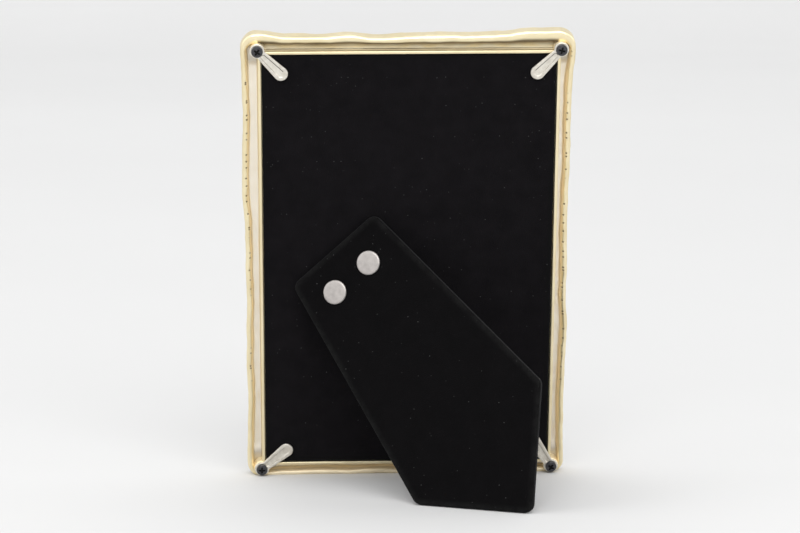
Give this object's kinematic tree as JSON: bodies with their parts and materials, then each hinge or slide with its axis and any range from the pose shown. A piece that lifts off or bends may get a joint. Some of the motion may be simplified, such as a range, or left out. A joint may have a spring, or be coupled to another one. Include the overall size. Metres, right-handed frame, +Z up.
{
  "type": "easel-back photo frame",
  "caption": "Tabletop photo frame with a cast gold rim, velvet backboard held by turn buttons, and a hinged diagonal easel leg.",
  "frame": {"origin": "on the table, under the middle of the whole standing object's box", "axes": "+Z up from the table, +Y towards the back where the leg stands, +X to the right as seen from the front; the frame leans back 12 degrees towards +Y"},
  "size_m": [0.1146, 0.0738, 0.1626],
  "materials": {
    "gold_plate": "bright gold plate over a hammered casting",
    "glass": "clear picture glass",
    "print_paper": "satin print paper",
    "card": "plain grey-brown card",
    "hardboard": "brown hardboard",
    "lining_paper": "black lining paper",
    "black_velvet": "short black velvet pile",
    "black_screw": "black oxide steel, slightly glossy",
    "nickel_plate": "satin nickel plate",
    "rivet_nickel": "dull tumbled nickel",
    "hinge_steel": "plain zinc-plated steel"
  },
  "bodies": {
    "frame": {"backboard_core": "hardboard", "backboard_lining": "lining_paper", "backboard_velvet": "black_velvet", "backing_card": "card", "corner_screw_bottom_left": "black_screw", "corner_screw_bottom_right": "black_screw", "corner_screw_top_left": "black_screw", "corner_screw_top_right": "black_screw", "frame_casting": "gold_plate", "glass_pane": "glass", "hinge_fixed_leaf": "hinge_steel", "hinge_pin": "hinge_steel", "hinge_tack_left": "hinge_steel", "hinge_tack_right": "hinge_steel", "photo_print": "print_paper"},
    "leg": {"leg_velvet": "black_velvet", "leg_core": "hardboard", "leg_lining": "lining_paper", "hinge_moving_leaf": "hinge_steel", "leg_rivet_lower": "rivet_nickel", "leg_rivet_upper": "rivet_nickel"},
    "button_top_right": {"turn_button_top_right": "nickel_plate"},
    "button_top_left": {"turn_button_top_left": "nickel_plate"},
    "button_bottom_right": {"turn_button_bottom_right": "nickel_plate"},
    "button_bottom_left": {"turn_button_bottom_left": "nickel_plate"}
  },
  "joints": [
    {"name": "leg_hinge", "type": "hinge", "parent": "frame", "child": "leg", "pos_m": [0.02383, -0.01089, 0.08181], "axis": [-0.7314, 0.1418, 0.6671], "range_deg": [0, 32]},
    {"name": "turn_top_right", "type": "hinge", "parent": "frame", "child": "button_top_right", "pos_m": [0.0527, 0.00415, 0.15713], "axis": [0, 0.9781, -0.2079], "continuous": true},
    {"name": "turn_top_left", "type": "hinge", "parent": "frame", "child": "button_top_left", "pos_m": [-0.0527, 0.00415, 0.15713], "axis": [0, 0.9781, -0.2079], "continuous": true},
    {"name": "turn_bottom_right", "type": "hinge", "parent": "frame", "child": "button_bottom_right", "pos_m": [0.0527, -0.02866, 0.00278], "axis": [0, 0.9781, -0.2079], "continuous": true},
    {"name": "turn_bottom_left", "type": "hinge", "parent": "frame", "child": "button_bottom_left", "pos_m": [-0.0527, -0.02866, 0.00278], "axis": [0, 0.9781, -0.2079], "continuous": true}
  ]
}
